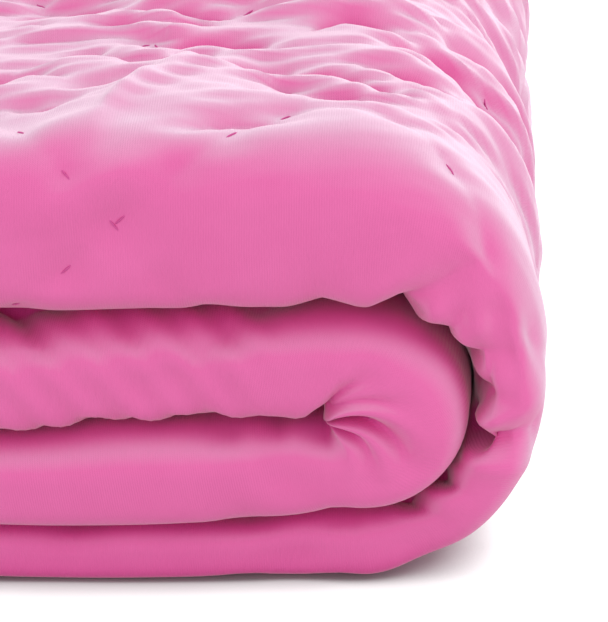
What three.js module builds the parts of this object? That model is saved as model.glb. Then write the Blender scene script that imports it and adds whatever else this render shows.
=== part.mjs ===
// A baby quilt, folded. The quilt is one padded sheet: it is folded in half with the fold to the front, which
// gives a doubled strip, and the strip is then folded in half twice, left to right. The first of those folds
// is at the left end, between the top and the inner upper layer. The second is at the right end, where the
// outer layers wrap round the inner ones. The sheet's knife edges lie at the back and at the left end.
// Millimetres, +Z up, the front towards -Y, the origin under the middle of the folded quilt.

import * as THREE from "three";

// The folded quilt, outside.
const WIDTH = 276;
const DEPTH = 380;
const HEIGHT = 164;
const LAYER_GAP = 1; // between strips that lie on each other, and between the two sheets of a strip

// The doubled strip lies in four layers. For each: how far its front fold stands back, how deep its front
// roll is, how far its back edges stand in from the deepest, how far the upper side of the roll slumps back
// under the layer on it, and how square the roll is: 1 for an ellipse, less for tighter corners.
const BOTTOM = { setBack: 9, roll: 15, backIn: 6, slump: 3, power: 0.6 };
const INNER_LOWER = { setBack: 1, roll: 20, backIn: 3, slump: 6, power: 0.7 };
const INNER_UPPER = { setBack: 3, roll: 21, backIn: 5, slump: 8, power: 0.7 };
const TOP = { setBack: 0, roll: 34, backIn: 0, slump: 1, power: 0.6 };
const SLUMP_LENGTH = 20; // how far behind the roll the slump dies away

// The lines between the layers, from the floor up, as heights at places along x. They sag and rise a little.
const OVER_BOTTOM = [
  { x: -138, z: 24 },
  { x: 18, z: 22.5 },
  { x: 71, z: 27 },
];
const OVER_INNER_LOWER = [
  { x: -138, z: 57 },
  { x: -40, z: 57.5 },
  { x: 0, z: 59.5 },
  { x: 55, z: 61 },
  { x: 80, z: 60.5 },
];
const UNDER_TOP = [
  { x: -98, z: 99.5 },
  { x: -10, z: 98.5 },
  { x: 26, z: 97 },
  { x: 68, z: 100 },
];

// The three turns. Outer and inner are how far the strip's two faces bulge past the end of the straight run.
const WRAP = { thick: 27, outer: 66, inner: 40 };
const LEFT_FOLD = { thick: 41, outer: 43 };
const INNER_FOLD = { outer: 41, creaseIn: 8 }; // creaseIn is how far the crease stops short of the turn
const TIGHT = LAYER_GAP / 2; // how far the cloth's own crease bulges inside a fold that is pressed flat

// Where the strip's two free ends stop, in from the left extreme.
const BOTTOM_END_IN = 8;
const INNER_END_IN = 15;

// The sheet's turned edge: over the last stretch it thins to a share of its thickness.
const EDGE_LENGTH = 26;
const EDGE_SHARE = 0.2;

// Quilting on curved diagonals: how far apart its crossings are, how far the lines swing, how deep they draw
// the face in, and one crossing's place, along the strip and across it from the front fold.
const QUILTING = { pitch: 136, swing: 4, depth: 3.2, along: 450, across: 0 };

// Creases where the front fold is pushed together inside a turn: the stretch they are on, where along it,
// how deep, how far to each side, and which face of the strip they cut most, "face" or "under".
const CREASES = [
  { stretch: "wrap", at: 0.18, depth: 3, half: 0.03, cuts: "under" },
  { stretch: "wrap", at: 0.24, depth: 5, half: 0.03, cuts: "under" },
  { stretch: "wrap", at: 0.415, depth: 9, half: 0.035, cuts: "under" },
  { stretch: "wrap", at: 0.55, depth: 6, half: 0.035, cuts: "under" },
  { stretch: "wrap", at: 0.65, depth: 5, half: 0.03, cuts: "under" },
  { stretch: "wrap", at: 0.73, depth: 5, half: 0.03, cuts: "under" },
  { stretch: "wrap", at: 0.84, depth: 6, half: 0.035, cuts: "under" },
  { stretch: "innerFold", at: 0.17, depth: 7, half: 0.06, cuts: "face" },
  { stretch: "innerFold", at: 0.36, depth: 3, half: 0.06, cuts: "face" },
  { stretch: "innerFold", at: 0.58, depth: 8, half: 0.06, cuts: "face" },
  { stretch: "innerFold", at: 0.84, depth: 5, half: 0.06, cuts: "face" },
];

// Slow unevenness of the whole pile: which way points move and how far, and the wave's length along each
// axis in millimetres (0 for none). It grows from nothing at the floor to its full size at the top.
const UNEVENNESS = [
  { moves: "z", by: 1, alongX: 240, alongY: 0, phase: 0.4 },
  { moves: "z", by: 1.2, alongX: 0, alongY: 210, phase: 1.9 },
  { moves: "z", by: 0.8, alongX: 130, alongY: 170, phase: 0.8 },
  { moves: "x", by: 2.2, alongX: 0, alongY: 460, phase: 3.9 },
  { moves: "y", by: 1.2, alongX: 190, alongY: 0, phase: 1.1 },
];

// Mesh steps.
const STEPS = {
  bottomRun: 11,
  wrap: 38,
  topRun: 12,
  leftFold: 10,
  upperRun: 11,
  innerFold: 18,
  lowerRun: 11,
};
const FACE_ROWS = 16;
const ROLL_ROWS = 9;
const UNDER_REACHES = [0.03, 0.08, 0.2, 0.4, 0.6, 0.8, 0.95, 0.985, 1];
const LINING_REACHES = [1, 0.96, 0.5, 0.06];
const CROWDING = 1.7; // how much closer the stations stand towards the free ends


const smooth = (t) => t * t * (3 - 2 * t);
const mix = (a, b, t) => a + (b - a) * t;
const clamp01 = (t) => Math.min(1, Math.max(0, t));

// Height of a line between layers at a place along x.
function heightAt(places, x) {
  const after = places.findIndex((place) => place.x > x);
  if (after === 0) {
    return places[0].z;
  }
  if (after < 0) {
    return places.at(-1).z;
  }
  const [a, b] = [places[after - 1], places[after]];
  return mix(a.z, b.z, smooth((x - a.x) / (b.x - a.x)));
}
const justUnder = (places) => (x) => heightAt(places, x) - LAYER_GAP / 2;
const justOver = (places) => (x) => heightAt(places, x) + LAYER_GAP / 2;
const floor = () => 0;
const crown = () => HEIGHT;

// Rails: the lines in the XZ plane that the strip's two faces follow. Each is a function of 0 to 1.
function run(fromX, toX, height) {
  return (t) => {
    const x = mix(fromX, toX, t);
    return [x, height(x)];
  };
}
function turn(centreX, lowHeight, highHeight, bulge, fromDegrees, toDegrees) {
  const low = lowHeight(centreX);
  const high = highHeight(centreX);
  return (t) => {
    const angle = THREE.MathUtils.degToRad(mix(fromDegrees, toDegrees, t));
    return [centreX + bulge * Math.cos(angle), (low + high + (high - low) * Math.sin(angle)) / 2];
  };
}

const right = WIDTH / 2;
const left = -WIDTH / 2;
const wrapFaceX = right - WRAP.outer;
const wrapUnderX = right - WRAP.thick - WRAP.inner;
const leftFaceX = left + LEFT_FOLD.outer;
const leftCreaseX = left + LEFT_FOLD.thick;
const innerFaceX = right - WRAP.thick - LAYER_GAP - INNER_FOLD.outer;
const innerCreaseX = innerFaceX - INNER_FOLD.creaseIn;
const bottomEndX = left + BOTTOM_END_IN;
const innerEndX = left + INNER_END_IN;

// The strip from its free end at the bottom, round to its free end inside. "face" is the side that is
// outermost on the wrap, and "under" the side that meets the other layers there.
const STRETCHES = [
  {
    name: "bottomRun",
    layers: [BOTTOM, BOTTOM],
    face: run(bottomEndX, wrapFaceX, floor),
    under: run(bottomEndX, wrapUnderX, justUnder(OVER_BOTTOM)),
    spaced: (t) => t ** CROWDING,
  },
  {
    name: "wrap",
    layers: [BOTTOM, TOP],
    face: turn(wrapFaceX, floor, crown, WRAP.outer, -90, 90),
    under: turn(wrapUnderX, justUnder(OVER_BOTTOM), justOver(UNDER_TOP), WRAP.inner, -90, 90),
  },
  {
    name: "topRun",
    layers: [TOP, TOP],
    face: run(wrapFaceX, leftFaceX, crown),
    under: run(wrapUnderX, leftCreaseX, justOver(UNDER_TOP)),
  },
  {
    name: "leftFold",
    layers: [TOP, INNER_UPPER],
    face: turn(leftFaceX, justOver(OVER_INNER_LOWER), crown, LEFT_FOLD.outer, 90, 270),
    under: turn(leftCreaseX, justUnder(UNDER_TOP), justOver(UNDER_TOP), TIGHT, 90, 270),
  },
  {
    name: "upperRun",
    layers: [INNER_UPPER, INNER_UPPER],
    face: run(leftFaceX, innerCreaseX, justOver(OVER_INNER_LOWER)),
    under: run(leftCreaseX, innerFaceX, justUnder(UNDER_TOP)),
  },
  {
    name: "innerFold",
    layers: [INNER_UPPER, INNER_LOWER],
    face: turn(innerCreaseX, justUnder(OVER_INNER_LOWER), justOver(OVER_INNER_LOWER), TIGHT, 90, -90),
    under: turn(innerFaceX, justOver(OVER_BOTTOM), justUnder(UNDER_TOP), INNER_FOLD.outer, 90, -90),
  },
  {
    name: "lowerRun",
    layers: [INNER_LOWER, INNER_LOWER],
    face: run(innerCreaseX, innerEndX, justUnder(OVER_INNER_LOWER)),
    under: run(innerFaceX, innerEndX, justOver(OVER_BOTTOM)),
    spaced: (t) => 1 - (1 - t) ** CROWDING,
  },
];

// Stations along the strip: both rails, the front fold's place and roll, and the length run so far.
function makeStations() {
  const stations = [];
  STRETCHES.forEach((stretch, index) => {
    const steps = STEPS[stretch.name];
    const last = index === STRETCHES.length - 1 ? steps : steps - 1;
    for (let i = 0; i <= last; i += 1) {
      const at = stretch.spaced ? stretch.spaced(i / steps) : i / steps;
      const [before, after] = stretch.layers;
      const turning = smooth(at);
      const [faceX, faceZ] = stretch.face(at);
      const [underX, underZ] = stretch.under(at);
      const station = {
        stretch: stretch.name,
        at,
        middle: new THREE.Vector2((faceX + underX) / 2, (faceZ + underZ) / 2),
        outward: new THREE.Vector2(faceX - underX, faceZ - underZ),
        front: -DEPTH / 2 + mix(before.setBack, after.setBack, turning),
        roll: mix(before.roll, after.roll, turning),
        back: DEPTH / 2 - mix(before.backIn, after.backIn, turning),
        slump: mix(before.slump, after.slump, turning),
        power: mix(before.power, after.power, turning),
        run: 0,
      };
      station.thick = station.outward.length();
      station.outward.normalize();
      const previous = stations.at(-1);
      if (previous) {
        station.run = previous.run + station.middle.distanceTo(previous.middle);
      }
      stations.push(station);
    }
  });
  return stations;
}

// Rows across the strip, in one loop round its section: the face from the back edge to the front, the front
// roll, the under side to the back edge, and back along the lining, which is the inside of the doubled sheet.
function makeRows() {
  const rows = [
    { side: 1, reach: 1 },
    { side: 1, reach: 0.985 },
  ];
  for (let i = 1; i <= FACE_ROWS; i += 1) {
    rows.push({ side: 1, reach: 1 - i / FACE_ROWS });
  }
  for (let i = 1; i < ROLL_ROWS; i += 1) {
    rows.push({ turned: (Math.PI * i) / ROLL_ROWS });
  }
  rows.push({ side: -1, reach: 0 });
  UNDER_REACHES.forEach((reach) => rows.push({ side: -1, reach }));
  LINING_REACHES.forEach((reach) => rows.push({ side: -1, reach, lining: true }));
  rows.push({ lining: true, turned: Math.PI / 2 });
  [...LINING_REACHES].reverse().forEach((reach) => rows.push({ side: 1, reach, lining: true }));
  return rows;
}

// How much of its thickness the sheet keeps near its turned edges.
function edgeShare(fromEdge) {
  const inward = clamp01(fromEdge / EDGE_LENGTH);
  return mix(EDGE_SHARE, 1, Math.sqrt(1 - (1 - inward) ** 2));
}

// How much of the quilting's depth shows: all of it where the strip's face is the outside of the pile.
function quiltingShare(station) {
  const shares = {
    wrap: smooth(clamp01(4 * station.at)),
    topRun: 1,
    leftFold: smooth(clamp01(4 * (1 - station.at))),
  };
  return shares[station.stretch] ?? 0;
}

// How far the quilting draws the face in: nothing between lines, its full depth where they cross.
function quilted(station, across) {
  const { pitch, swing, depth } = QUILTING;
  const a = station.run - QUILTING.along;
  const b = across - QUILTING.across;
  const wave = swing * Math.sin((2 * Math.PI * b) / pitch);
  const rising = Math.sin((Math.PI * (a + b + wave)) / pitch);
  const falling = Math.sin((Math.PI * (a - b + wave)) / pitch);
  return depth * (1 - Math.sqrt(Math.abs(rising * falling)));
}

// How far the creases inside the turns draw the front fold in.
function creased(station, turned) {
  let drawn = 0;
  for (const crease of CREASES) {
    if (crease.stretch === station.stretch) {
      const aside = (station.at - crease.at) / crease.half;
      const towardsFace = 0.5 + 0.5 * Math.cos(turned);
      const reach = crease.cuts === "face" ? towardsFace : 1 - towardsFace;
      drawn += crease.depth * Math.exp(-aside * aside) * reach * reach;
    }
  }
  return drawn;
}

// How far the slump pushes a point in. "lifted" is how much the strip's face looks up there, 1 for straight
// up, and "behind" is how far the point is behind the roll.
function slumped(station, lifted, behind) {
  return station.slump * Math.max(0, lifted) ** 2 * Math.exp(-behind / SLUMP_LENGTH);
}

// A place on the section where the strip lies flat: how far it is from the strip's middle line, across its
// thickness, and y. "core" is the middle of the sheet, which the turned edges thin towards.
function flatPlace(station, row) {
  const { thick, front, roll, back } = station;
  const start = row.lining ? front + (thick - LAYER_GAP) / 2 : front + roll;
  const y = mix(start, back, row.reach);
  const place = {
    across: (row.side * (row.lining ? LAYER_GAP : thick)) / 2,
    y,
    core: { across: (row.side * (thick + LAYER_GAP)) / 4, y },
  };
  if (!row.lining) {
    place.y += slumped(station, row.side * station.outward.y, y - start);
  }
  if (row.side === 1 && !row.lining) {
    const drawn = quiltingShare(station) * quilted(station, (Math.PI / 2) * roll + y - start);
    place.across -= drawn;
  }
  return place;
}

// The same on the front roll, and for the crease inside it.
function rollPlace(station, row) {
  const { thick, front, roll } = station;
  const sheet = (thick - LAYER_GAP) / 2;
  if (row.lining) {
    return { across: 0, y: front + sheet, core: { across: 0, y: front + sheet / 2 } };
  }
  const up = Math.cos(row.turned);
  const out = Math.sin(row.turned);
  const squarer = (share) => Math.sign(share) * Math.abs(share) ** station.power;
  const shown = row.turned < Math.PI / 2 ? mix(quiltingShare(station), 1, out) : out;
  const drawn = shown * quilted(station, roll * (Math.PI / 2 - row.turned)) + creased(station, row.turned);
  const kept = 1 - drawn / Math.max(thick / 2, roll);
  return {
    across: (thick / 2) * squarer(up) * kept,
    y: front + roll - roll * squarer(out) * kept + slumped(station, up * station.outward.y, 0),
    core: { across: ((thick + LAYER_GAP) / 4) * squarer(up), y: front + roll - (roll - sheet / 2) * out },
  };
}

// Moves a point with the pile's slow unevenness.
function settle(point) {
  const rise = clamp01(point.z / HEIGHT);
  const moved = { x: 0, y: 0, z: 0 };
  for (const wave of UNEVENNESS) {
    const x = wave.alongX ? (2 * Math.PI * point.x) / wave.alongX : 0;
    const y = wave.alongY ? (2 * Math.PI * point.y) / wave.alongY : 0;
    moved[wave.moves] += wave.by * rise * Math.sin(x + y + wave.phase);
  }
  return point.add(moved);
}

// The point of one row at one station.
function sectionPoint(station, row, length) {
  const place = row.turned === undefined ? flatPlace(station, row) : rollPlace(station, row);
  const fromEdge = Math.min(station.run, length - station.run, station.back - place.y);
  const share = edgeShare(fromEdge);
  const across = mix(place.core.across, place.across, share);
  const x = station.middle.x + station.outward.x * across;
  const z = station.middle.y + station.outward.y * across;
  return settle(new THREE.Vector3(x, mix(place.core.y, place.y, share), z));
}

function quiltGeometry() {
  const stations = makeStations();
  const rows = makeRows();
  const length = stations.at(-1).run;
  const points = stations.map((station) => rows.map((row) => sectionPoint(station, row, length)));
  const count = rows.length;
  const faces = [];
  for (let i = 0; i < stations.length - 1; i += 1) {
    for (let j = 0; j < count; j += 1) {
      const a = i * count + j;
      const b = i * count + ((j + 1) % count);
      faces.push(a, a + count, b, b, a + count, b + count);
    }
  }
  for (const end of [0, stations.length - 1]) {
    const outline = points[end].map((point) => new THREE.Vector2(point.z, point.y));
    for (const corners of THREE.ShapeUtils.triangulateShape(outline, [])) {
      faces.push(...corners.map((corner) => end * count + corner));
    }
  }
  const geometry = new THREE.BufferGeometry();
  const positions = points.flat().flatMap((point) => point.toArray());
  geometry.setAttribute("position", new THREE.Float32BufferAttribute(positions, 3));
  geometry.setIndex(faces);
  geometry.center();
  geometry.computeBoundingBox();
  geometry.translate(0, 0, -geometry.boundingBox.min.z);
  geometry.computeVertexNormals();
  return geometry;
}

const jersey = new THREE.MeshStandardMaterial({ color: 0xe476b1, roughness: 0.95, metalness: 0 });
const quilt = new THREE.Mesh(quiltGeometry(), jersey);
quilt.name = "quilt";

const foldedQuilt = new THREE.Group();
foldedQuilt.add(quilt);

export default foldedQuilt;
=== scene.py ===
import math

import bpy
import numpy as np
from mathutils import Matrix, Vector


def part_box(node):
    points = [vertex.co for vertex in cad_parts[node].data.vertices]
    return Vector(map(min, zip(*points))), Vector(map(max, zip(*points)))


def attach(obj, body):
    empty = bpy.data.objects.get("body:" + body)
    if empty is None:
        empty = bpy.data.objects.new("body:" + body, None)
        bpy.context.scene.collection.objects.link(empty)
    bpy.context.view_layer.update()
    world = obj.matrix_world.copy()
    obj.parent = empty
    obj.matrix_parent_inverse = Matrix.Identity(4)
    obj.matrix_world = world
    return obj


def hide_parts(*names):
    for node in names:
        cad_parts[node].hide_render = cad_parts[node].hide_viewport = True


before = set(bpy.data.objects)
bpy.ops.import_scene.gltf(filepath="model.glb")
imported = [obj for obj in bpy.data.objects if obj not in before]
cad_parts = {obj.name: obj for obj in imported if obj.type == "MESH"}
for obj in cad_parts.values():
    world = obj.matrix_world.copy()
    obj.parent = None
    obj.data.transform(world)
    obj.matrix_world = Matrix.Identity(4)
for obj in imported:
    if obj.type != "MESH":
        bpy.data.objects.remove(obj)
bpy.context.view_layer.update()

cad_low, cad_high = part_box("quilt")

# The camera stands in front of the wrapped end, a little above the quilt, and looks down at it through a
# long lens. It leans slightly, so that the floor line under the quilt is level in the picture.
LENS_MM = 150.5
SENSOR_MM = 36.0
LOOKS_AT = Vector((0.058, -0.190, 0.1055))
DISTANCE = 0.832
DOWN = math.radians(23.0)
TURNED_LEFT = math.radians(4.4)
LEAN = math.radians(-2.0)

ahead = Vector((
    -math.sin(TURNED_LEFT) * math.cos(DOWN),
    math.cos(TURNED_LEFT) * math.cos(DOWN),
    -math.sin(DOWN),
))
level_right = Vector((math.cos(TURNED_LEFT), math.sin(TURNED_LEFT), 0.0))
level_up = level_right.cross(ahead)
right = level_right * math.cos(LEAN) + level_up * math.sin(LEAN)
up = level_up * math.cos(LEAN) - level_right * math.sin(LEAN)

camera_data = bpy.data.cameras.new("camera")
camera_data.lens = LENS_MM
camera_data.sensor_width = SENSOR_MM
camera_data.clip_start = 0.05
camera_data.clip_end = 20.0
camera = bpy.data.objects.new("camera", camera_data)
camera.matrix_world = Matrix((
    (right.x, up.x, -ahead.x, 0.0),
    (right.y, up.y, -ahead.y, 0.0),
    (right.z, up.z, -ahead.z, 0.0),
    (0.0, 0.0, 0.0, 1.0),
))
camera.location = LOOKS_AT - ahead * DISTANCE
bpy.context.scene.collection.objects.link(camera)
bpy.context.scene.camera = camera


class Value:
    """A shader socket that can be used in sums."""

    def __init__(self, maker, socket):
        self.maker = maker
        self.socket = socket

    def _maths(self, operation, *values, clamp=False):
        return self.maker.node("ShaderNodeMath", {"operation": operation, "use_clamp": clamp}, *values)

    def __add__(self, other):
        return self._maths("ADD", self, other)

    def __sub__(self, other):
        return self._maths("SUBTRACT", self, other)

    def __rsub__(self, other):
        return self._maths("SUBTRACT", other, self)

    def __mul__(self, other):
        return self._maths("MULTIPLY", self, other)

    def __abs__(self):
        return self._maths("ABSOLUTE", self)

    def sine(self):
        return self._maths("SINE", self)

    def clamped(self):
        return self._maths("ADD", self, 0.0, clamp=True)


class Material:
    """A new material, with one method that adds any node."""

    def __init__(self, name):
        self.material = bpy.data.materials.new(name)
        self.material.use_nodes = True
        self.tree = self.material.node_tree
        self.tree.nodes.clear()

    def node(self, kind, settings=None, *values, out=0, **named):
        made = self.tree.nodes.new(kind)
        for setting, value in (settings or {}).items():
            setattr(made, setting, value)
        inputs = [(made.inputs[i], value) for i, value in enumerate(values)]
        inputs += [(made.inputs[name.replace("_", " ")], value) for name, value in named.items()]
        for socket, value in inputs:
            if isinstance(value, Value):
                self.tree.links.new(value.socket, socket)
            elif value is not None:
                socket.default_value = value
        return Value(self, made.outputs[out] if len(made.outputs) else None)

    def mix(self, amount, a, b):
        mixed = self.node("ShaderNodeMix", {"data_type": "RGBA"}, amount, out=2)
        node = mixed.socket.node
        for socket, value in ((node.inputs[6], a), (node.inputs[7], b)):
            if isinstance(value, Value):
                self.tree.links.new(value.socket, socket)
            else:
                socket.default_value = value
        return mixed

    def finish(self, shader):
        self.node("ShaderNodeOutputMaterial", {}, shader)
        return self.material


# The floor is a plain white sheet with white all round. To the camera it glows, and a painted contact shadow
# darkens its glow close to the quilt. Soft boxes stand behind, to the right and in front. None of this is
# part of the quilt.
FLOOR_SIZE = 6.0
FLOOR_WHITE = (0.30, 0.30, 0.30, 1.0)
FLOOR_BOUNCE = (0.65, 0.65, 0.65, 1.0)
FLOOR_PAINTED_SHADOW = (0.03, 0.015, 0.02, 1.0)
FLOOR_GLOW = 0.82
SKY_WHITE = (1.0, 1.0, 1.0, 1.0)
SKY_STRENGTH = 0.92
LIGHTS = [
    {"name": "behind", "at": (0.5, 1.6, 0.7), "size": 1.4, "watts": 34.0},
    {"name": "right", "at": (1.8, -0.4, 0.8), "size": 1.2, "watts": 9.0},
    {"name": "front", "at": (-0.5, -2.2, 1.0), "size": 1.6, "watts": 14.0},
]

bpy.ops.mesh.primitive_plane_add(size=FLOOR_SIZE, location=(0.0, 0.0, 0.0))
floor = bpy.context.object
floor.name = "floor"
card = Material("floor_card")
# Painted contact shadow: the glow is mixed towards a dark colour where ambient occlusion finds the quilt
# within 3 cm.
uncovered = card.node("ShaderNodeAmbientOcclusion", {"samples": 32}, Distance=0.03, out=1)
glow_with_painted_shadow = card.mix((uncovered * 2.6 - 0.6).clamped(), FLOOR_PAINTED_SHADOW, SKY_WHITE)
seen = card.node("ShaderNodeBsdfPrincipled", {}, Base_Color=FLOOR_WHITE, Roughness=0.8,
                 Emission_Color=glow_with_painted_shadow, Emission_Strength=FLOOR_GLOW)
bounced = card.node("ShaderNodeBsdfPrincipled", {}, Base_Color=FLOOR_BOUNCE, Roughness=0.8)
seen_directly = card.node("ShaderNodeLightPath")
floor.data.materials.append(card.finish(card.node("ShaderNodeMixShader", {}, seen_directly, bounced, seen)))

world = bpy.data.worlds.new("white_room")
bpy.context.scene.world = world
world.use_nodes = True
world.node_tree.nodes["Background"].inputs["Color"].default_value = SKY_WHITE
world.node_tree.nodes["Background"].inputs["Strength"].default_value = SKY_STRENGTH

for light in LIGHTS:
    lamp_data = bpy.data.lights.new(light["name"], "AREA")
    lamp_data.size = light["size"]
    lamp_data.energy = light["watts"]
    lamp = bpy.data.objects.new(light["name"], lamp_data)
    lamp.location = light["at"]
    lamp.rotation_euler = (Vector((0.0, 0.0, 0.08)) - lamp.location).to_track_quat("-Z", "Y").to_euler()
    bpy.context.scene.collection.objects.link(lamp)
bpy.context.scene.view_settings.view_transform = "Standard"


# The quilt is one padded sheet of cotton jersey over light filling, with a turned knife edge. It is folded in
# half with the fold to the front, and the doubled strip is folded twice more, with its outer layers round
# the right end. These are the sizes of the fold in metres, the same as in the part's source apart from the
# roundness of the rolls and how thin the edges get.
WIDTH = 0.276
DEPTH = 0.380
HEIGHT = 0.164
LAYER_GAP = 0.001
# For each layer: how far its front and its back edge stand in, how deep its front roll is, how far the roll's
# upper side sinks back, and the roundness of the roll's upper and lower side. 1 is round, less is fuller.
BOTTOM = dict(set_back=0.009, roll=0.015, back_in=0.006, slump=0.003, power=0.65, tight=0.55)
INNER_LOWER = dict(set_back=0.001, roll=0.020, back_in=0.003, slump=0.006, power=0.75, tight=0.5)
INNER_UPPER = dict(set_back=0.003, roll=0.021, back_in=0.005, slump=0.008, power=0.75, tight=0.5)
TOP = dict(set_back=0.0, roll=0.034, back_in=0.0, slump=0.001, power=0.6, tight=0.5)
# Heights of the gaps between the layers along x.
OVER_BOTTOM = [(-0.138, 0.024), (0.018, 0.0225), (0.071, 0.027)]
OVER_INNER_LOWER = [(-0.138, 0.057), (-0.040, 0.0575), (0.0, 0.0595), (0.055, 0.061), (0.080, 0.0605)]
UNDER_TOP = [(-0.098, 0.0995), (-0.010, 0.0985), (0.026, 0.097), (0.068, 0.100)]
WRAP_THICK, WRAP_OUTER, WRAP_INNER = 0.027, 0.066, 0.040
LEFT_THICK, LEFT_OUTER = 0.041, 0.043
INNER_OUTER, CREASE_IN = 0.041, 0.008
TIGHT = LAYER_GAP / 2
BOTTOM_END_IN, INNER_END_IN = 0.008, 0.015
# The sheet thins out to its knife edge over this length, to this share of its thickness.
EDGE_LENGTH, EDGE_SHARE = 0.026, 0.10
SLUMP_LENGTH = 0.020


def mixed(a, b, t):
    return a + (b - a) * t


def eased(t):
    t = np.clip(t, 0.0, 1.0)
    return t * t * (3.0 - 2.0 * t)


def height_at(places, x):
    xs, zs = np.array(places).T
    i = np.clip(np.searchsorted(xs, x) - 1, 0, len(xs) - 2)
    return mixed(zs[i], zs[i + 1], eased((x - xs[i]) / (xs[i + 1] - xs[i])))


def just_under(places):
    return lambda x: height_at(places, x) - LAYER_GAP / 2


def just_over(places):
    return lambda x: height_at(places, x) + LAYER_GAP / 2


def level(height):
    return lambda x: height + 0.0 * np.asarray(x)


def straight(from_x, to_x, height):
    return lambda t: (mixed(from_x, to_x, t), height(mixed(from_x, to_x, t)))


def turned(centre_x, low, high, bulge, from_degrees, to_degrees):
    bottom, top = low(centre_x), high(centre_x)

    def rail(t):
        angle = np.radians(mixed(from_degrees, to_degrees, t))
        return centre_x + bulge * np.cos(angle), (bottom + top + (top - bottom) * np.sin(angle)) / 2
    return rail


right_end, left_end = WIDTH / 2, -WIDTH / 2
wrap_face_x = right_end - WRAP_OUTER
wrap_under_x = right_end - WRAP_THICK - WRAP_INNER
left_face_x = left_end + LEFT_OUTER
left_crease_x = left_end + LEFT_THICK
inner_face_x = right_end - WRAP_THICK - LAYER_GAP - INNER_OUTER
inner_crease_x = inner_face_x - CREASE_IN
bottom_end_x = left_end + BOTTOM_END_IN
inner_end_x = left_end + INNER_END_IN
ground, crown = level(0.0), level(HEIGHT)

# name, layer before, layer after, rail of the face, rail of the under side, stations
STRETCHES = [
    ("bottom_run", BOTTOM, BOTTOM,
     straight(bottom_end_x, wrap_face_x, ground),
     straight(bottom_end_x, wrap_under_x, just_under(OVER_BOTTOM)), 34),
    ("wrap", BOTTOM, TOP,
     turned(wrap_face_x, ground, crown, WRAP_OUTER, -90, 90),
     turned(wrap_under_x, just_under(OVER_BOTTOM), just_over(UNDER_TOP), WRAP_INNER, -90, 90), 112),
    ("top_run", TOP, TOP,
     straight(wrap_face_x, left_face_x, crown),
     straight(wrap_under_x, left_crease_x, just_over(UNDER_TOP)), 90),
    ("left_fold", TOP, INNER_UPPER,
     turned(left_face_x, just_over(OVER_INNER_LOWER), crown, LEFT_OUTER, 90, 270),
     turned(left_crease_x, just_under(UNDER_TOP), just_over(UNDER_TOP), TIGHT, 90, 270), 44),
    ("upper_run", INNER_UPPER, INNER_UPPER,
     straight(left_face_x, inner_crease_x, just_over(OVER_INNER_LOWER)),
     straight(left_crease_x, inner_face_x, just_under(UNDER_TOP)), 52),
    ("inner_fold", INNER_UPPER, INNER_LOWER,
     turned(inner_crease_x, just_under(OVER_INNER_LOWER), just_over(OVER_INNER_LOWER), TIGHT, 90, -90),
     turned(inner_face_x, just_over(OVER_BOTTOM), just_under(UNDER_TOP), INNER_OUTER, 90, -90), 36),
    ("lower_run", INNER_LOWER, INNER_LOWER,
     straight(inner_crease_x, inner_end_x, just_under(OVER_INNER_LOWER)),
     straight(inner_face_x, inner_end_x, just_over(OVER_BOTTOM)), 36),
]

parts = {key: [] for key in (
    "stretch", "at", "mid_x", "mid_z", "out_x", "out_z", "front", "roll", "back", "slump", "power", "tight")}
for number, (name, before, after, face_rail, under_rail, count) in enumerate(STRETCHES):
    last = number == len(STRETCHES) - 1
    at = np.linspace(0.0, 1.0, count + 1)[: count + 1 if last else count]
    turning = eased(at)
    face_x, face_z = face_rail(at)
    under_x, under_z = under_rail(at)
    parts["stretch"].append(np.full(at.shape, number))
    parts["at"].append(at)
    parts["mid_x"].append((face_x + under_x) / 2)
    parts["mid_z"].append((face_z + under_z) / 2)
    parts["out_x"].append(face_x - under_x)
    parts["out_z"].append(face_z - under_z)
    parts["front"].append(-DEPTH / 2 + mixed(before["set_back"], after["set_back"], turning))
    parts["roll"].append(mixed(before["roll"], after["roll"], turning))
    parts["back"].append(DEPTH / 2 - mixed(before["back_in"], after["back_in"], turning))
    parts["slump"].append(mixed(before["slump"], after["slump"], turning))
    parts["power"].append(mixed(before["power"], after["power"], turning))
    parts["tight"].append(mixed(before["tight"], after["tight"], turning))
strip = {key: np.concatenate(value) for key, value in parts.items()}
strip["thick"] = np.hypot(strip["out_x"], strip["out_z"])
strip["out_x"] /= strip["thick"]
strip["out_z"] /= strip["thick"]
strip["run"] = np.concatenate([[0.0], np.cumsum(np.hypot(np.diff(strip["mid_x"]), np.diff(strip["mid_z"])))])
length = strip["run"][-1]

# Rows round the section: the face from the back edge to the front, the front roll, the under side to the
# back edge, and the lining, which is the inside of the doubled sheet.
face_reaches = np.concatenate([1.0 - np.linspace(0, 1, 50)[:-1] ** 1.3 * 0.4, np.linspace(0.6, 0.0, 101)])
roll_shares = np.linspace(1.0, -1.0, 45)[1:-1]
under_reaches = np.concatenate([[0.0, 0.01, 0.02, 0.035, 0.055, 0.08], np.linspace(0.12, 0.92, 8),
                                [0.95, 0.97, 0.985, 0.995, 1.0]])
lining_reaches = np.array([1.0, 0.99, 0.97, 0.94, 0.9, 0.7, 0.5, 0.3, 0.1, 0.03])
rows = [("face", 1.0, reach) for reach in face_reaches]
rows += [("roll", math.copysign(1.0, share), abs(share)) for share in roll_shares]
rows += [("face", -1.0, reach) for reach in under_reaches]
rows += [("lining", -1.0, reach) for reach in lining_reaches]
rows += [("crease", 0.0, 0.0)]
rows += [("lining", 1.0, reach) for reach in lining_reaches[::-1]]


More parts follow.
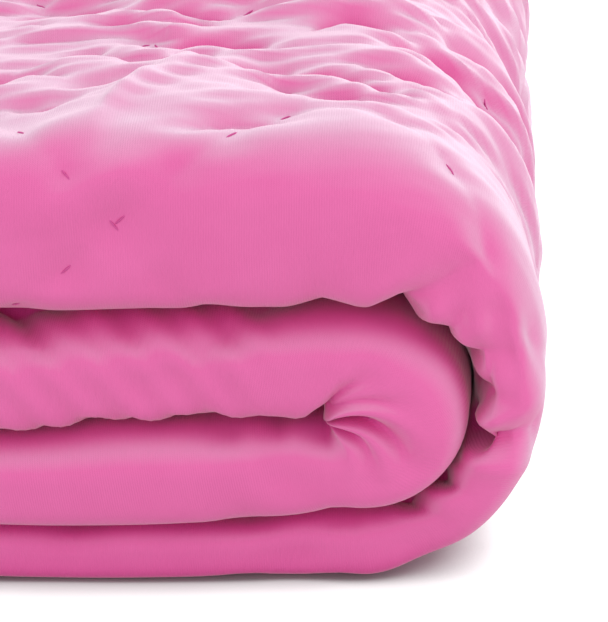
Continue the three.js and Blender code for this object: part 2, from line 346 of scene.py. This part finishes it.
# Round the right end the outer side of the front roll is rounder, since the cloth is stretched there.
WRAP_ROUNDER = 0.34
ROUNDER_FROM, ROUNDER_TO = 0.205, 0.450
rounder_at = np.clip((strip["run"] - ROUNDER_FROM) / (ROUNDER_TO - ROUNDER_FROM), 0.0, 1.0)
rounder = WRAP_ROUNDER * np.sin(np.pi * rounder_at) ** 0.7
upper_side = {side: 0.5 + 0.5 * np.tanh(3.0 * side * strip["out_z"]) for side in (1.0, -1.0)}
power = {side: mixed(strip["tight"], strip["power"], upper_side[side]) + rounder * (side > 0)
         for side in (1.0, -1.0)}


def turned_at(side, share):
    """The angle on the roll, from its front, at a share of the way over the cloth to the roll's end."""
    angles = np.linspace(0.0, np.pi / 2, 181)
    across = strip["thick"][:, None] / 2 * np.sin(angles) ** power[side][:, None]
    inwards = strip["roll"][:, None] * (1.0 - np.cos(angles) ** power[side][:, None])
    steps = np.hypot(np.diff(across, axis=1), np.diff(inwards, axis=1))
    over = np.concatenate([np.zeros((len(steps), 1)), np.cumsum(steps, axis=1)], axis=1)
    return np.array([np.interp(share * row[-1], row, angles) for row in over])


def section_row(kind, side, value):
    """One row's distance across the strip from its middle, its y, its core, and its distance over the cloth
    from the front of the roll."""
    thick, front, roll, back = (strip[key] for key in ("thick", "front", "roll", "back"))
    sheet = (thick - LAYER_GAP) / 2
    if kind == "roll":
        angle = turned_at(side, value)
        pushed_in = strip["slump"] * np.clip(side * np.sin(angle) * strip["out_z"], 0.0, 1.0) ** 2
        return (side * thick / 2 * np.sin(angle) ** power[side],
                front + roll - roll * np.cos(angle) ** power[side] + pushed_in,
                side * (thick + LAYER_GAP) / 4 * np.sin(angle),
                front + roll - (roll - sheet / 2) * np.cos(angle),
                side * value * roll * np.pi / 2)
    if kind == "crease":
        return 0.0 * thick, front + sheet, 0.0 * thick, front + sheet / 2, 0.0 * thick
    start = front + (sheet if kind == "lining" else roll)
    y = mixed(start, back, value)
    lifted = np.clip(side * strip["out_z"], 0.0, 1.0)
    pushed_in = strip["slump"] * lifted ** 2 * np.exp(-(y - start) / SLUMP_LENGTH) * (kind == "face")
    across = side * (LAYER_GAP if kind == "lining" else thick) / 2
    return across, y + pushed_in, side * (thick + LAYER_GAP) / 4, y, side * (roll * np.pi / 2 + y - start)


shape = (len(strip["run"]), len(rows))
places = np.zeros(shape + (3,))
cloth_across = np.zeros(shape)
edge_kept = np.zeros(shape)
for j, row in enumerate(rows):
    across, y, core_across, core_y, cloth_across[:, j] = section_row(*row)
    from_edge = np.minimum(np.minimum(strip["run"], length - strip["run"]), strip["back"] - y)
    inward = np.clip(from_edge / EDGE_LENGTH, 0.0, 1.0)
    edge_kept[:, j] = np.sqrt(1.0 - (1.0 - inward) ** 2)
    kept = mixed(EDGE_SHARE, 1.0, edge_kept[:, j])
    across = mixed(core_across, across, kept)
    places[:, j, 0] = strip["mid_x"] + strip["out_x"] * across
    places[:, j, 1] = mixed(core_y, y, kept)
    places[:, j, 2] = strip["mid_z"] + strip["out_z"] * across
cloth_along = np.repeat(strip["run"][:, None], shape[1], axis=1)

# The pile's slow unevenness: which way points move and how far, the wave's length along x and y, its phase.
UNEVENNESS = [
    (2, 0.0010, 0.240, None, 0.4),
    (2, 0.0012, None, 0.210, 1.9),
    (2, 0.0008, 0.130, 0.170, 0.8),
    (0, 0.0022, None, 0.460, 3.9),
    (1, 0.0012, 0.190, None, 1.1),
]
rise = np.clip(places[..., 2] / HEIGHT, 0.0, 1.0)
moved = np.zeros_like(places)
for axis, by, along_x, along_y, phase in UNEVENNESS:
    turn_x = 2 * np.pi * places[..., 0] / along_x if along_x else 0.0
    turn_y = 2 * np.pi * places[..., 1] / along_y if along_y else 0.0
    moved[..., axis] += by * rise * np.sin(turn_x + turn_y + phase)
places += moved

# The quilting is a lattice of wavy stitched lines at 45 degrees to the strip. Each long stitch pulls the
# outside face down in a dimple, and the cloth between the lines stands up in low puffs.
PITCH, SWING = 0.136, 0.004
CROSSING = (0.4541, 0.0011)
STITCH_EVERY, STITCH_LONG = 0.0235, 0.0055
STITCH_LAG = {1: 0.0026, -1: 0.0}
STITCH_REACH = 0.02


def line_along(number, heading, across):
    return (CROSSING[0] + number * PITCH - heading * (across - CROSSING[1])
            - SWING * np.sin(2 * np.pi * (across - CROSSING[1]) / PITCH))


stitches = []
across_steps = np.linspace(-0.06, 0.37, 4000)
for heading in (1, -1):
    for number in range(-8, 9):
        along_steps = line_along(number, heading, across_steps)
        lengths = np.concatenate([[0.0], np.cumsum(np.hypot(np.diff(along_steps), np.diff(across_steps)))])
        at_crossing = np.interp(CROSSING[1], across_steps, lengths)
        places_on_line = np.arange(-16, 40) * STITCH_EVERY + at_crossing + STITCH_LAG[heading]
        for centre in places_on_line[(places_on_line > 0.005) & (places_on_line < lengths[-1] - 0.005)]:
            ends = [(float(np.interp(centre + d, lengths, along_steps)),
                     float(np.interp(centre + d, lengths, across_steps)))
                    for d in np.linspace(-0.5, 0.5, 5) * STITCH_LONG]
            stitches.append(ends)

stitch_near = np.full(shape, 1.0)
for ends in stitches:
    along, across = ends[2]
    i = np.abs(strip["run"] - along) < STITCH_REACH
    if i.any():
        stitch_near[i] = np.minimum(
            stitch_near[i], np.hypot(cloth_along[i] - along, cloth_across[i] - across))

wave = SWING * np.sin(2 * np.pi * (cloth_across - CROSSING[1]) / PITCH)
rising = np.sin(np.pi * (cloth_along - CROSSING[0] + cloth_across - CROSSING[1] + wave) / PITCH)
falling = np.sin(np.pi * (cloth_along - CROSSING[0] - cloth_across + CROSSING[1] + wave) / PITCH)
puffed = np.sqrt(np.abs(rising * falling)) - 1.0

# The outside face is a little longer than the filling under it, so it buckles into wrinkles between the
# stitches. A flat patch of it is simulated as cloth held at its stitches, and its heights are used below.
PATCH_ALONG, PATCH_ACROSS = (0.195, 0.640), (-0.025, 0.405)
PATCH_STEP, PATCH_LONGER, PATCH_TIMES, PATCH_FRAMES = 0.0028, 3.0, 10.0, 30
PATCH_START, PATCH_WAVES, PATCH_SEED = 0.002, 24, 7
LOWEST_WRINKLE, HIGHEST_WRINKLE = -0.006, 0.005
# A negative shrink makes the cloth grow, here by 15%.
CLOTH_SETTINGS = {
    "pin_stiffness": 1.0,
    "shrink_min": -0.15,
    "shrink_max": -0.15,
    "quality": 6,
    "mass": 0.15,
    "tension_stiffness": 20.0,
    "compression_stiffness": 20.0,
    "shear_stiffness": 5.0,
    "bending_stiffness": 600.0,
    "air_damping": 2.0,
}


def wrinkled_patch():
    along = np.arange(PATCH_ALONG[0], PATCH_ALONG[1], PATCH_STEP * PATCH_LONGER)
    across = np.arange(PATCH_ACROSS[0], PATCH_ACROSS[1], PATCH_STEP)
    a, b = np.meshgrid(along, across, indexing="ij")
    near = np.full(a.shape, 1.0)
    for ends in stitches:
        near = np.minimum(near, np.hypot((a - ends[2][0]) / PATCH_LONGER, b - ends[2][1]))
    held = near < PATCH_STEP * 0.75
    held[0, :] = held[-1, :] = held[:, 0] = held[:, -1] = True
    uneven = np.zeros(a.shape)
    chance = np.random.default_rng(PATCH_SEED)
    waves = chance.uniform([-400, -400, 0], [400, 400, 6.28], (PATCH_WAVES, 3))
    for turn_a, turn_b, phase in waves:
        uneven += np.sin(a / PATCH_LONGER * turn_a + b * turn_b + phase) / PATCH_WAVES
    height = PATCH_START * uneven * ~held - PATCH_START * np.exp(-(near / 0.004) ** 2)
    start = np.stack([a / PATCH_LONGER, b, height], -1)
    wide = len(across)
    faces = [(i * wide + j, (i + 1) * wide + j, (i + 1) * wide + j + 1, i * wide + j + 1)
             for i in range(len(along) - 1) for j in range(wide - 1)]
    patch_mesh = bpy.data.meshes.new("patch")
    patch_mesh.from_pydata((start.reshape(-1, 3) * PATCH_TIMES).tolist(), [], faces)
    patch = bpy.data.objects.new("patch", patch_mesh)
    bpy.context.scene.collection.objects.link(patch)
    held_group = patch.vertex_groups.new(name="held")
    held_group.add(np.nonzero(held.reshape(-1))[0].tolist(), 1.0, "REPLACE")
    cloth = patch.modifiers.new("cloth", "CLOTH")
    cloth.settings.vertex_group_mass = "held"
    for setting, value in CLOTH_SETTINGS.items():
        setattr(cloth.settings, setting, value)
    cloth.settings.effector_weights.gravity = 0.0
    cloth.collision_settings.use_collision = False
    cloth.point_cache.frame_start = 1
    cloth.point_cache.frame_end = PATCH_FRAMES
    for frame_number in range(1, PATCH_FRAMES + 1):
        bpy.context.scene.frame_set(frame_number)
    shaped = patch.evaluated_get(bpy.context.evaluated_depsgraph_get()).data
    ends = np.zeros(len(shaped.vertices) * 3, np.float32)
    shaped.vertices.foreach_get("co", ends)
    heights = ends.reshape(a.shape + (3,))[..., 2] / PATCH_TIMES
    bpy.context.scene.frame_set(1)
    bpy.data.objects.remove(patch, do_unlink=True)
    bpy.data.meshes.remove(patch_mesh)
    return along, across, np.clip(heights - heights.mean(), LOWEST_WRINKLE, HIGHEST_WRINKLE)


def sampled(along, across, heights, at_along, at_across):
    i = np.clip((at_along - along[0]) / (along[1] - along[0]), 0, len(along) - 1.001)
    j = np.clip((at_across - across[0]) / (across[1] - across[0]), 0, len(across) - 1.001)
    i0, j0 = i.astype(int), j.astype(int)
    s, t = i - i0, j - j0
    return mixed(mixed(heights[i0, j0], heights[i0 + 1, j0], s),
                 mixed(heights[i0, j0 + 1], heights[i0 + 1, j0 + 1], s), t)


wrinkles = sampled(*wrinkled_patch(), cloth_along, cloth_across)

# The main creases along the strip on the top and over its right end. Points are (along, across) in mm on
# the cloth, then the half width and the depth in mm; a ridge has a negative depth.
CREASES_ALONG = [
    {"points": [(400, 43), (418, 43), (436, 36)], "half": 6, "deep": 5.6},
    {"points": [(446, 80), (462, 75), (480, 74)], "half": 7, "deep": 7},
    {"points": [(467, 62), (480, 56), (495, 61)], "half": 6, "deep": 6.3},
    {"points": [(438, 101), (450, 98), (462, 101)], "half": 6, "deep": 6.3},
    {"points": [(410, 131), (424, 133), (437, 131), (452, 122)], "half": 5, "deep": 9.1},
    {"points": [(400, 108), (415, 105), (428, 101)], "half": 5, "deep": 6.3},
    {"points": [(368, 87), (383, 94), (392, 97), (400, 97), (407, 95), (418, 100)],
     "half": 4.5, "deep": 9.8},
    {"points": [(344, 110), (354, 107), (364, 107), (380, 113)], "half": 5.5, "deep": 7.7},
    {"points": [(314, 132), (330, 136), (338, 140), (346, 144), (357, 143), (370, 137)],
     "half": 5, "deep": 11.2},
    {"points": [(366, 154), (384, 155), (398, 147)], "half": 5, "deep": 8.4},
    {"points": [(376, 76), (389, 77), (400, 79)], "half": 4.5, "deep": 4.9},
    {"points": [(470, 171), (486, 172), (502, 169)], "half": 4, "deep": 6.3},
    {"points": [(422, 160), (438, 160), (470, 165)], "half": 4.5, "deep": 8.4},
    {"points": [(474, 84), (490, 89), (508, 91)], "half": 5, "deep": 4.9},
    {"points": [(285, 112), (304, 117), (322, 118), (336, 114)], "half": 5, "deep": 5.6},
    {"points": [(280, 168), (300, 172), (322, 172), (345, 166)], "half": 5, "deep": 7},
    {"points": [(290, 196), (310, 201), (335, 200)], "half": 5, "deep": 7},
    {"points": [(417, 106), (436, 94), (450, 70), (461, 42), (479, 34), (500, 30)], "half": 9, "deep": -4.2},
    {"points": [(437, 24), (461, 15), (485, 7)], "half": 6, "deep": -2.24},
]
# The creases across the front fold. They run from the gap under a layer towards its face, and the cloth
# puffs up a little on both sides of them.
CREASES_ACROSS = [
    {"points": [(386, -40), (391, -16)], "half": 6, "deep": 2.5},
    {"points": [(362, -42), (358, -24), (343, -7), (331, 12)], "half": 6, "deep": 5.5},
    {"points": [(337, -38), (333, -12)], "half": 5, "deep": 3.5},
    {"points": [(322, -36), (317, -16), (300, 4)], "half": 6, "deep": 5.0},
    {"points": [(304, -38), (300, -18), (285, 2)], "half": 5, "deep": 3.5},
    {"points": [(277, -36), (273, -2), (272, 16)], "half": 5, "deep": 11.0},
    {"points": [(240, -34), (249, -8)], "half": 5, "deep": 5.5},
    {"points": [(222, -28), (234, -4)], "half": 5, "deep": 3.5},
    {"points": [(672, -44), (684, -12)], "half": 10, "deep": 8.0},
    {"points": [(441, 28), (453, 4), (469, -14)], "half": 14, "deep": 1.8},
    {"points": [(100, 0), (106, -14)], "half": 10, "deep": 2.5},
]
# The same on the inner fold, where they run out from the crease in its middle.
CREASES_INSIDE = [
    {"points": [(793, 0), (785, 14), (780, 28)], "half": 4, "deep": 8.0},
    {"points": [(806, -2), (790, 15)], "half": 3, "deep": 4.0},
    {"points": [(825, -7), (820, -1), (803, 17), (796, 29)], "half": 4, "deep": 10.0},
    {"points": [(834, -4), (822, 10), (815, 27)], "half": 4, "deep": 5.0},
    {"points": [(866, 4), (858, 30)], "half": 4, "deep": 3.0},
]
# How far a crease fades out beyond its ends, and how wide its front and back sides are.
CREASE_END, STEEP_SIDE, SLOW_SIDE = 0.006, 0.55, 1.35
# Fine wrinkles on the top: how far apart, how much they lean, how far they wander in metres, and the phase.
FINE_WRINKLES = [
    (0.0105, 0.10, 0.0030, 0.3),
    (0.0140, -0.16, 0.0040, 1.7),
    (0.0082, 0.24, 0.0020, 4.1),
]


def creased(creases, over, aside):
    """How deep the creases are at each place. They run along the strip (over 0) or across it (over 1). Those
    along it are steep at the front and slow at the back, and those across it swell at both sides."""
    drawn = np.zeros(shape)
    for crease in creases:
        points = np.array(sorted(crease["points"], key=lambda p: p[over])) / 1000.0
        start, end = points[0, over], points[-1, over]
        on, off = (cloth_along, cloth_across) if over == 0 else (cloth_across, cloth_along)
        share = np.clip((on - start) / (end - start), 0.0, 1.0)
        beyond = np.maximum(np.maximum(start - on, on - end), 0.0)
        taper = aside(share) * np.exp(-(beyond / CREASE_END) ** 2)
        away = (off - np.interp(on, points[:, over], points[:, 1 - over])) * 1000.0 / crease["half"]
        if over == 0:
            away = np.where((away < 0) & (crease["deep"] > 0), away / STEEP_SIDE, away / SLOW_SIDE)
            pinch = np.exp(-np.abs(away) ** 1.6)
        else:
            pinch = np.exp(-np.abs(away) ** 1.4) - 0.22 * np.exp(-((np.abs(away) - 2.1) / 0.8) ** 2)
        drawn += crease["deep"] / 1000.0 * taper * pinch
    return drawn


along_creases = creased(CREASES_ALONG, 0, lambda share: mixed(0.25, 1.0, np.sin(np.pi * share)))
across_creases = creased(CREASES_ACROSS, 1, lambda share: np.cos(share * 1.35) ** 0.8)
across_creases += creased(CREASES_INSIDE, 1, lambda share: np.sin(0.2 + share * 1.37) ** 0.8)

# Where the outside face shows, and how loose it is there.
stretch_of = np.repeat(strip["stretch"][:, None], shape[1], axis=1)
at_of = np.repeat(strip["at"][:, None], shape[1], axis=1)
kinds = np.array([row[0] != "lining" and row[0] != "crease" for row in rows])
roll_quarter = np.repeat((strip["roll"] * np.pi / 2)[:, None], shape[1], axis=1)
face_open = np.select(
    [stretch_of == 1, stretch_of == 2, stretch_of == 3],
    [eased(4 * at_of), 1.0, eased(4 * (1 - at_of))], 0.0)
beyond_roll = np.clip((np.abs(cloth_across) - roll_quarter * 0.95) / 0.008, 0.0, 1.0)
shows = np.where(cloth_across > 0, mixed(1.0, face_open, eased(beyond_roll)), 1.0 - eased(beyond_roll))
shows *= kinds * edge_kept
loose = mixed(0.12, 1.0, eased((cloth_across - 0.030) / 0.060)) * face_open
loose *= np.where(stretch_of == 1, mixed(0.4, 1.0, eased((at_of - 0.35) / 0.35)), 1.0)
calm_front = mixed(0.6, 1.0, eased((cloth_across - 0.020) / 0.030))
# The right end is drawn in a little behind its front fold, over its upper half and at its foot.
BEHIND_IN, UPPER_IN, FOOT_IN = 0.0034, 0.0032, 0.0070
near_front = np.exp(-((cloth_across - 0.01) / 0.07) ** 2)
drawn_in = BEHIND_IN * eased((cloth_across - 0.01) / 0.10)
drawn_in += UPPER_IN * eased((at_of - 0.40) / 0.2) * near_front
drawn_in += FOOT_IN * np.exp(-((at_of - 0.10) / 0.07) ** 2)
drawn_in *= np.sin(np.pi * at_of) * (stretch_of == 1)
# Between the long wrinkles run finer ones, which wander with them.
WANDER_LENGTH, WANDER_WITH = 0.083, 260.0
fine = np.zeros(shape)
for apart, lean, wander, phase in FINE_WRINKLES:
    wandered = wander * np.sin(2 * np.pi * cloth_along / WANDER_LENGTH + phase)
    slant = cloth_across + lean * cloth_along + wandered
    fine += np.sin(2 * np.pi * slant / apart + WANDER_WITH * wrinkles + phase)
PUFF_DEEP, DIMPLE_DEEP, DIMPLE_WIDE = 0.0026, 0.0019, 0.0075
WRINKLE_SHARE, FINE_DEEP = 0.70, 0.00045
RIPPLE_DEEP, RIPPLE_APART, RIPPLE_LEAN = 0.0008, 0.0150, 0.9
lifted_out = (PUFF_DEEP * puffed * calm_front - drawn_in
              - DIMPLE_DEEP * np.exp(-(stitch_near / DIMPLE_WIDE) ** 2) * mixed(0.8, 1.0, loose)
              + (WRINKLE_SHARE * wrinkles + FINE_DEEP * fine) * loose
              - along_creases * (cloth_across > 0)
              - across_creases)
# The inner upper layer is softly rippled where the strip is drawn round.
ripple = np.sin(2 * np.pi * (cloth_along - RIPPLE_LEAN * cloth_across) / RIPPLE_APART)
lifted_out += (RIPPLE_DEEP * ripple * (stretch_of == 4)
               * eased((cloth_along - 0.66) / 0.02) * eased((0.77 - cloth_along) / 0.02))
outward = np.clip(lifted_out, 0.0, None)
inward = np.clip(lifted_out, None, 0.0)
free = np.clip(1.0 - (np.abs(cloth_across) / roll_quarter), 0.0, 1.0)
free = np.where((cloth_across > 0), mixed(free, 1.0, face_open), free)
lifted_out = shows * (inward + outward * free)

step_along = np.gradient(places, axis=0)
step_round = np.roll(places, -1, axis=1) - np.roll(places, 1, axis=1)
normals = np.cross(step_along, step_round)
normals /= np.maximum(np.linalg.norm(normals, axis=-1, keepdims=True), 1e-9)
# On the top they have to point up.
ON_TOP, FACE_ROW = 0.45, 40
top_station = int(np.argmin(np.abs(strip["run"] - ON_TOP)))
if normals[top_station, FACE_ROW, 2] < 0:
    normals = -normals
own_low, own_high = places.reshape(-1, 3).min(0), places.reshape(-1, 3).max(0)
places += [(cad_low.x + cad_high.x - own_low[0] - own_high[0]) / 2,
           (cad_low.y + cad_high.y - own_low[1] - own_high[1]) / 2,
           cad_low.z - own_low[2]]
places += normals * lifted_out[..., None]
places[..., 2] = np.clip(places[..., 2], 0.0, None)

stations, ring = shape
quads = []
for i in range(stations - 1):
    for j in range(ring):
        following = (j + 1) % ring
        quads.append((i * ring + j, i * ring + following, (i + 1) * ring + following, (i + 1) * ring + j))
quads.append(list(range(ring))[::-1])
quads.append(list(range((stations - 1) * ring, stations * ring)))
mesh = bpy.data.meshes.new("quilt_sheet")
mesh.from_pydata(places.reshape(-1, 3).tolist(), [], quads)
mesh.shade_smooth()
layer = mesh.uv_layers.new(name="cloth")
loop_vertices = np.zeros(len(mesh.loops), np.int32)
mesh.loops.foreach_get("vertex_index", loop_vertices)
on_cloth = np.stack([cloth_along.reshape(-1), cloth_across.reshape(-1)], -1)
layer.data.foreach_set("uv", on_cloth[loop_vertices].reshape(-1).astype(np.float32))
mesh.update()
quilt = bpy.data.objects.new("quilt_sheet", mesh)
bpy.context.scene.collection.objects.link(quilt)

# Pink cotton jersey: fine upright ribs 0.8 mm apart with a stitch row every 0.6 mm, and a soft nap with a
# painted pale sheen.
PINK = (0.72, 0.135, 0.37, 1.0)
DEEPER_PINK = (0.69, 0.118, 0.345, 1.0)
PAINTED_SHEEN_PINK = (0.68, 0.41, 0.56, 1.0)
FOLD_SHADE_PINK = (0.62, 0.03, 0.25, 1.0)
RIB, ROW, WAVER = 0.0008, 0.0006, 9.0
jersey = Material("pink_jersey")
cloth_place = jersey.node("ShaderNodeUVMap", {"uv_map": "cloth"})
along = jersey.node("ShaderNodeSeparateXYZ", {}, cloth_place)
across = Value(jersey, along.socket.node.outputs[1])
slow = jersey.node("ShaderNodeTexNoise", {}, cloth_place, Scale=45.0, Detail=2.0)
uneven = jersey.node("ShaderNodeTexNoise", {}, cloth_place, Scale=700.0, Detail=2.0)
ribs = (along * (2 * math.pi / RIB) + slow * WAVER).sine()
stitch_rows = (across * (2 * math.pi / ROW) + slow * WAVER).sine()
knit = ribs * 0.5 + ribs * stitch_rows * 0.35 + uneven * 0.8
colour = jersey.mix((slow * 1.4 - 0.2).clamped(), DEEPER_PINK, PINK)
# Painted sheen: the cloth is painted paler on the top and the sides, by the way it faces, for the light the
# soft nap catches there. Where ambient occlusion finds it hidden, it is left unpainted.
normal = jersey.node("ShaderNodeNewGeometry", {}, out=1)
facing = jersey.node("ShaderNodeSeparateXYZ", {}, normal, out=1)
upward = Value(jersey, facing.socket.node.outputs[2])
open_share = jersey.node("ShaderNodeAmbientOcclusion", {"samples": 12}, Distance=0.03, out=1)
painted_sheen_share = (1.15 - abs(facing) * 1.25).clamped() * (upward * 2.0 + 1.1).clamped()
painted_sheen_share = painted_sheen_share * (open_share * 2.6 - 1.2).clamped()
colour = jersey.mix(painted_sheen_share, colour, PAINTED_SHEEN_PINK)
# Painted shade: where ambient occlusion finds the cloth hidden, inside the folds and the gaps, it is painted
# a deeper, darker pink, for light that has gone through the cloth and off it many times.
colour = jersey.mix((open_share * 1.6 - 0.35).clamped(), FOLD_SHADE_PINK, colour)
bump = jersey.node("ShaderNodeBump", {}, Strength=0.35, Distance=0.00018, Height=knit)
quilt.data.materials.append(jersey.finish(jersey.node(
    "ShaderNodeBsdfPrincipled", {}, Base_Color=colour, Roughness=0.9, Sheen_Weight=0.35,
    Sheen_Roughness=0.46, Normal=bump)))
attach(quilt, "root")
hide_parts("quilt")

# The quilting stitches are single threads of cotton, a shade deeper than the cloth. They are sewn through the
# padded sheet, so each one dips into the cloth at both ends.
THREAD_RADIUS = 0.00028
order = np.array([j for j in range(ring) if kinds[j]])


def on_face(i, across):
    return np.interp(-across, -cloth_across[i, order], np.arange(len(order)))


def place_on_cloth(along, across):
    i = float(np.interp(along, strip["run"], np.arange(stations)))
    i0 = min(int(i), stations - 2)
    found = []
    for k in (i0, i0 + 1):
        j = on_face(k, across)
        j0 = min(int(j), len(order) - 2)
        found.append(mixed(places[k, order[j0]], places[k, order[j0 + 1]], j - j0))
    return mixed(found[0], found[1], i - i0)


# Two stitches next to the crossing on the front have sunk into the cloth and don't show.
SUNK_STITCHES = [(0.4356, 0.0196), (0.4375, -0.0155)]
END_CLEAR, BACK_CLEAR = 0.012, 0.03
SIDES, SIDE_REACH = 6, 0.002
DIP = (-0.0005, 0.00008, 0.00022, 0.00008, -0.0005)
thread_points, thread_faces = [], []
for ends in stitches:
    along, across = ends[2]
    if any(math.hypot(along - a, across - b) < STITCH_LONG for a, b in SUNK_STITCHES):
        continue
    i = int(np.argmin(np.abs(strip["run"] - along)))
    quarter = strip["roll"][i] * np.pi / 2
    back_edge = strip["back"][i] - strip["front"][i] + quarter
    if not END_CLEAR < along < length - END_CLEAR or across > back_edge - BACK_CLEAR:
        continue
    side_open = face_open[i, 0] > 0.9 and across > 0
    on_top = strip["stretch"][i] == 2 and abs(across) < 0.8 * quarter
    if not on_top and not (side_open and across > 0.6 * quarter):
        continue
    line = np.array([place_on_cloth(*end) for end in ends])
    forward = line[-1] - line[0]
    forward /= np.linalg.norm(forward)
    aside_place = place_on_cloth(along + SIDE_REACH * (ends[-1][1] - ends[0][1]) / STITCH_LONG,
                                 across - SIDE_REACH * (ends[-1][0] - ends[0][0]) / STITCH_LONG)
    sideways = aside_place - line[2]
    sideways -= forward * np.dot(sideways, forward)
    sideways /= np.linalg.norm(sideways)
    out = np.cross(forward, sideways)
    j = int(round(float(on_face(i, across))))
    if np.dot(out, normals[i, order[min(j, len(order) - 1)]]) < 0:
        out = -out
    base = len(thread_points)
    for n, (centre, sunk) in enumerate(zip(line, DIP)):
        for k in range(SIDES):
            angle = 2 * math.pi * k / SIDES
            ring_out = out * (math.cos(angle) * THREAD_RADIUS + sunk)
            thread_points.append(centre + ring_out + sideways * math.sin(angle) * THREAD_RADIUS)
            if n:
                nearer, further = base + (n - 1) * SIDES, base + n * SIDES
                following = (k + 1) % SIDES
                thread_faces.append((nearer + k, nearer + following, further + following, further + k))
    thread_faces.append([base + k for k in range(SIDES)][::-1])
    thread_faces.append([len(thread_points) - SIDES + k for k in range(SIDES)])

thread_mesh = bpy.data.meshes.new("quilting_stitches")
thread_mesh.from_pydata([tuple(point) for point in thread_points], [], thread_faces)
thread_mesh.shade_smooth()
thread_mesh.update()
threads = bpy.data.objects.new("quilting_stitches", thread_mesh)
bpy.context.scene.collection.objects.link(threads)
THREAD_PINK = (0.56, 0.075, 0.28, 1.0)
cotton = Material("pink_thread")
threads.data.materials.append(cotton.finish(cotton.node(
    "ShaderNodeBsdfPrincipled", {}, Base_Color=THREAD_PINK, Roughness=0.8)))
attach(threads, "root")
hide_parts("quilt")
